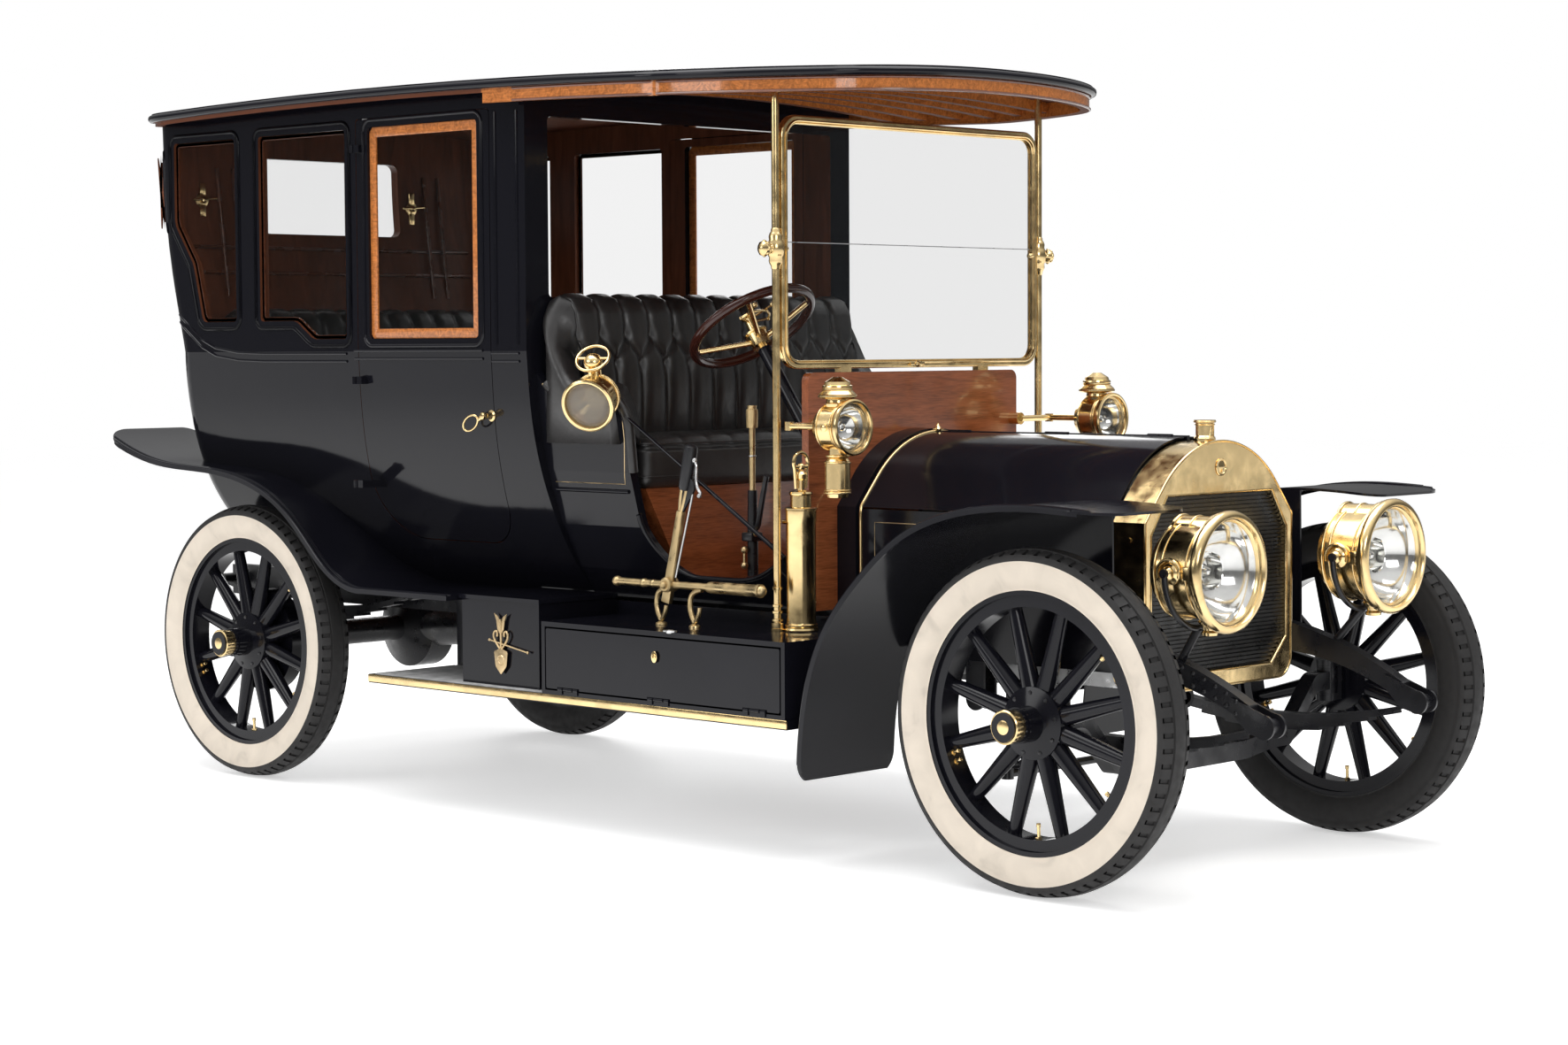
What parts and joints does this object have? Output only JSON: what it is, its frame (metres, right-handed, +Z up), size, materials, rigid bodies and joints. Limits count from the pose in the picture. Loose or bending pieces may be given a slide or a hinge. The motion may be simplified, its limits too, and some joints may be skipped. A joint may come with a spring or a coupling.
{
  "type": "brass era car",
  "caption": "Open-fronted limousine of the brass era with a closed rear cabin, artillery wheels, long running boards and large lamps.",
  "frame": {"origin": "on the ground under the middle of the car's length and width", "axes": "+X forward, +Y to the car's left, +Z up"},
  "size_m": [4.4299, 1.654, 2.207],
  "materials": {
    "iron": "satin black",
    "engine_metal": "cast",
    "brass": "polished",
    "core": "matte black",
    "black_paint": "gloss coach paint",
    "roof_paint": "gloss",
    "mahogany": "varnished",
    "veneer": "varnished veneer",
    "glass": "clear",
    "lens": "clear lens",
    "leather": "buttoned hide",
    "bronze": "worn",
    "dark_wood": "varnished rim",
    "wheel_paint": "gloss black",
    "tyre": "ribbed rubber with a pale side wall"
  },
  "bodies": {
    "car": {"frame_rails": "iron", "cross_members": "iron", "springs": "iron", "front_axle": "iron", "rear_axle": "iron", "engine": "engine_metal", "radiator_shell": "brass", "radiator_core": "core", "hood_sides": "black_paint", "cowl": "black_paint", "dash": "mahogany", "roof": "roof_paint", "roof_wood": "veneer", "windscreen_frame": "brass", "windscreen_glass": "glass", "cabin": "black_paint", "cabin_glass": "glass", "driver_tub": "black_paint", "floor": "mahogany", "seat_boxes": "mahogany", "front_seat": "leather", "rear_seat": "leather", "front_fenders": "black_paint", "rear_fenders": "black_paint", "running_boards": "black_paint", "tool_boxes": "black_paint", "small_boxes": "black_paint", "headlamps": "brass", "lamp_brackets": "iron", "side_lamps": "brass", "spot_lamp": "brass", "lamp_lenses": "lens", "pump": "brass", "brake_lever": "bronze", "inner_lever": "bronze", "steering_column": "black_paint"},
    "hood_right": {"hood_right": "black_paint"},
    "hood_left": {"hood_left": "black_paint"},
    "door_right": {"door_right": "black_paint", "door_glass_right": "glass"},
    "door_left": {"door_left": "black_paint", "door_glass_left": "glass"},
    "flap_right": {"tool_flap_right": "black_paint"},
    "flap_left": {"tool_flap_left": "black_paint"},
    "knuckle_right": {"knuckle_right": "iron"},
    "knuckle_left": {"knuckle_left": "iron"},
    "tie_rod": {"tie_rod": "iron"},
    "steering_wheel": {"steering_wheel": "dark_wood"},
    "front_wheel_right": {"wheel_front_right": "wheel_paint", "tyre_front_right": "tyre"},
    "front_wheel_left": {"wheel_front_left": "wheel_paint", "tyre_front_left": "tyre"},
    "rear_wheel_right": {"wheel_rear_right": "wheel_paint", "tyre_rear_right": "tyre"},
    "rear_wheel_left": {"wheel_rear_left": "wheel_paint", "tyre_rear_left": "tyre"}
  },
  "joints": [
    {"name": "steer_right", "type": "hinge", "parent": "car", "child": "knuckle_right", "pos_m": [1.72, -0.6, 0.44], "axis": [0, 0, 1], "range_deg": [-24, 24]},
    {"name": "steer_left", "type": "hinge", "parent": "car", "child": "knuckle_left", "pos_m": [1.72, 0.6, 0.44], "axis": [0, 0, 1], "range_deg": [-24, 24]},
    {"name": "tie_rod_pivot", "type": "hinge", "parent": "knuckle_right", "child": "tie_rod", "pos_m": [1.55, -0.6, 0.286], "axis": [0, 0, 1], "range_deg": [-24, 24]},
    {"name": "steering_wheel_turn", "type": "hinge", "parent": "car", "child": "steering_wheel", "pos_m": [0.352, -0.275, 1.412], "axis": [-0.5821, 0, 0.8131], "range_deg": [-192, 192]},
    {"name": "front_right_roll", "type": "hinge", "parent": "knuckle_right", "child": "front_wheel_right", "pos_m": [1.72, -0.685, 0.44], "axis": [0, 1, 0], "continuous": true},
    {"name": "front_left_roll", "type": "hinge", "parent": "knuckle_left", "child": "front_wheel_left", "pos_m": [1.72, 0.685, 0.44], "axis": [0, 1, 0], "continuous": true},
    {"name": "rear_right_roll", "type": "hinge", "parent": "car", "child": "rear_wheel_right", "pos_m": [-1.53, -0.685, 0.44], "axis": [0, 1, 0], "continuous": true},
    {"name": "rear_left_roll", "type": "hinge", "parent": "car", "child": "rear_wheel_left", "pos_m": [-1.53, 0.685, 0.44], "axis": [0, 1, 0], "continuous": true},
    {"name": "door_right_hinge", "type": "hinge", "parent": "car", "child": "door_right", "pos_m": [-0.955, -0.716, 1.3], "axis": [0, 0, 1], "range_deg": [-75, 0]},
    {"name": "door_left_hinge", "type": "hinge", "parent": "car", "child": "door_left", "pos_m": [-0.955, 0.716, 1.3], "axis": [0, 0, 1], "range_deg": [0, 75]},
    {"name": "hood_right_hinge", "type": "hinge", "parent": "car", "child": "hood_right", "pos_m": [1.235, 0, 1.138], "axis": [1, 0, 0], "range_deg": [-60, 0]},
    {"name": "hood_left_hinge", "type": "hinge", "parent": "car", "child": "hood_left", "pos_m": [1.235, 0, 1.138], "axis": [1, 0, 0], "range_deg": [0, 60]},
    {"name": "flap_right_hinge", "type": "hinge", "parent": "car", "child": "flap_right", "pos_m": [0.471, -0.8, 0.409], "axis": [1, 0, 0], "range_deg": [0, 90]},
    {"name": "flap_left_hinge", "type": "hinge", "parent": "car", "child": "flap_left", "pos_m": [0.471, 0.8, 0.409], "axis": [1, 0, 0], "range_deg": [-90, 0]}
  ],
  "couplings": [
    {"joint": "steer_left", "follows": "steer_right", "ratio": 1},
    {"joint": "tie_rod_pivot", "follows": "steer_right", "ratio": -1},
    {"joint": "steering_wheel_turn", "follows": "steer_right", "ratio": 8}
  ]
}
